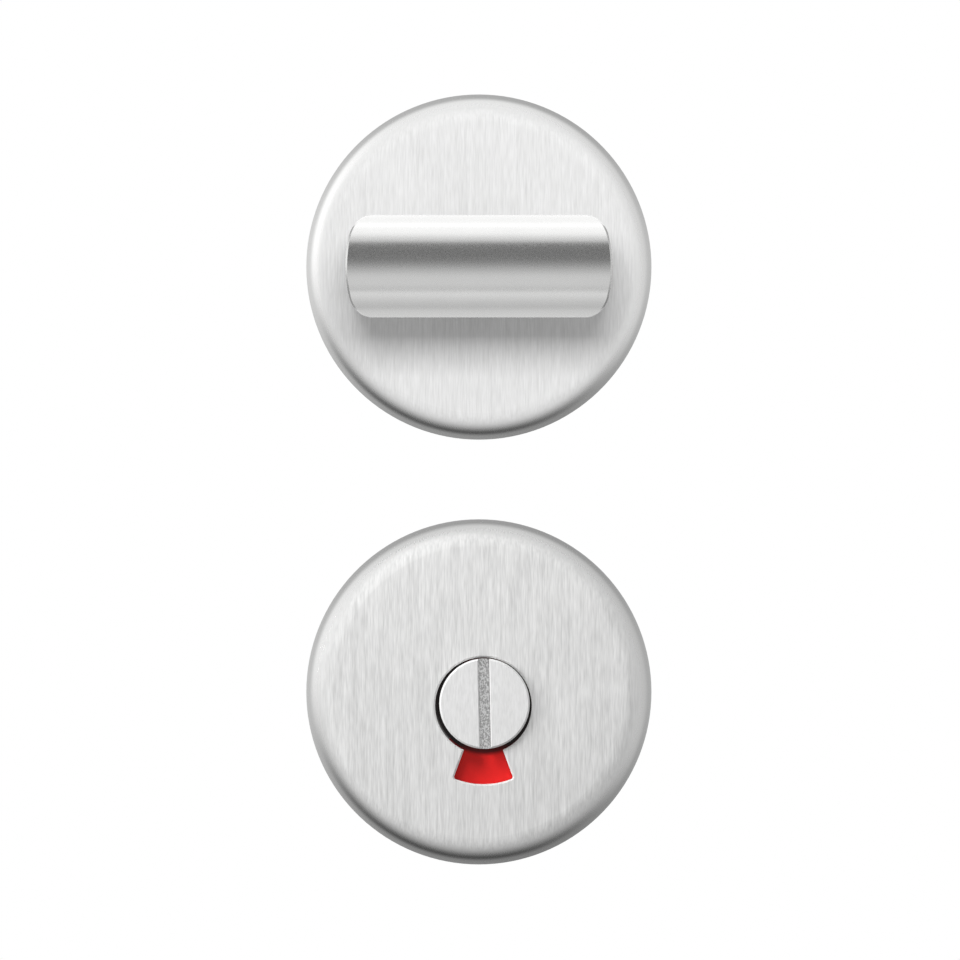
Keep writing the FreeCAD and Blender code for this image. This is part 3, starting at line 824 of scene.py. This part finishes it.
    def dome(self, context, stage):
        """White all round for the picture, and for the steel a studio that is darker below and behind."""
        world = bpy.data.worlds.new("studio")
        world.use_nodes = True
        world.cycles.sampling_method = "NONE"
        context.scene.world = world
        sheet = Sheet(world.node_tree)
        way = sheet.node("ShaderNodeTexCoord", {}, {}, "Generated")
        across, away, up = sheet.split(way)
        to_degrees = 180 / math.pi
        height = up.math("ARCTAN2", up, -1.0 * away) * to_degrees
        turned = away.math("ARCCOSINE", -1.0 * away) * to_degrees
        # A little over 1, so that nothing is divided by zero straight ahead
        round_about = away.math("SQRT", 1.0001 - away * away)
        below = (-SHADE_UP * up - SHADE_ACROSS * across) / round_about
        leftward = -1.0 * across / round_about
        side = abs(across)
        front = 0.92 * (1 - 0.22 * (-1.0 * leftward).rise(0.0, 1.0) * turned.rise(30.0, 95.0))
        front = front * (1 + 0.35 * leftward.rise(0.4, 1.0) * turned.inside(62.0, 112.0, 14.0))
        front = front * (1 - 0.93 * below.rise(0.0, 0.98) * turned.rise(15.0, 100.0))
        sideways = leftward * leftward
        back = 0.38 + 0.26 * sideways * sideways + 0.10 * leftward - 0.08 * below
        tone = front + (back - front) * turned.rise(95.0, 122.0)
        # A dark flag in front and above, which the bar mirrors as its dark band
        flag = height.rise(-34.0, 20.0) * (1 - height.rise(54.0, 58.0)) * (1 - side.rise(0.30, 0.36))
        tone = tone * (1 - flag) + 0.19 * flag
        direct = sheet.node("ShaderNodeLightPath", {}, {}, "Is Camera Ray")
        seen = direct.math("MAXIMUM", direct, direct.other("Is Transmission Ray"))
        scattered = direct.math("MINIMUM", direct.other("Diffuse Depth"), 1.0)
        glossy = direct.other("Is Glossy Ray") * (1 - scattered)
        strength = seen + (1 - seen) * (glossy * tone + (1 - glossy) * stage.ambient)
        light = sheet.node("ShaderNodeBackground", {}, {"Color": (1.0, 1.0, 1.0, 1.0), "Strength": strength})
        sheet.node("ShaderNodeOutputWorld", {}, {"Surface": light})


MAKERS = (
    TURNLOCK_OT_roses,
    TURNLOCK_OT_thumb_turn,
    TURNLOCK_OT_release,
    TURNLOCK_OT_plates,
    TURNLOCK_OT_running_pieces,
    TURNLOCK_OT_bolts,
    TURNLOCK_OT_posts,
    TURNLOCK_OT_stage,
)


class TURNLOCK_PT_sidebar(bpy.types.Panel):
    """The lock's settings and makers"""

    bl_idname = "TURNLOCK_PT_sidebar"
    bl_label = "Bathroom thumb turn lock"
    bl_space_type = "VIEW_3D"
    bl_region_type = "UI"
    bl_category = "Thumb turn"

    def draw(self, context):
        for settings in ("turn_lock_finishes", "turn_lock_threads", "turn_lock_stage"):
            group = getattr(context.scene, settings)
            box = self.layout.box()
            for name in group.bl_rna.properties.keys():
                if name not in ("rna_type", "name"):
                    box.prop(group, name)
        for maker in MAKERS:
            self.layout.operator(maker.bl_idname)


SETTINGS = (TurnLockFinishes, TurnLockThreads, TurnLockStage)
CLASSES = SETTINGS + MAKERS + (TURNLOCK_PT_sidebar,)


def register():
    for cls in CLASSES:
        bpy.utils.register_class(cls)
    bpy.types.Scene.turn_lock_finishes = PointerProperty(type=TurnLockFinishes)
    bpy.types.Scene.turn_lock_threads = PointerProperty(type=TurnLockThreads)
    bpy.types.Scene.turn_lock_stage = PointerProperty(type=TurnLockStage)


def unregister():
    del bpy.types.Scene.turn_lock_stage
    del bpy.types.Scene.turn_lock_threads
    del bpy.types.Scene.turn_lock_finishes
    for cls in reversed(CLASSES):
        bpy.utils.unregister_class(cls)


def main():
    register()
    bpy.ops.turn_lock.roses()
    bpy.ops.turn_lock.thumb_turn()
    bpy.ops.turn_lock.release()
    bpy.ops.turn_lock.plates()
    bpy.ops.turn_lock.running_pieces()
    bpy.ops.turn_lock.bolts()
    bpy.ops.turn_lock.posts()
    bpy.ops.turn_lock.stage()


if __name__ == "__main__":
    main()
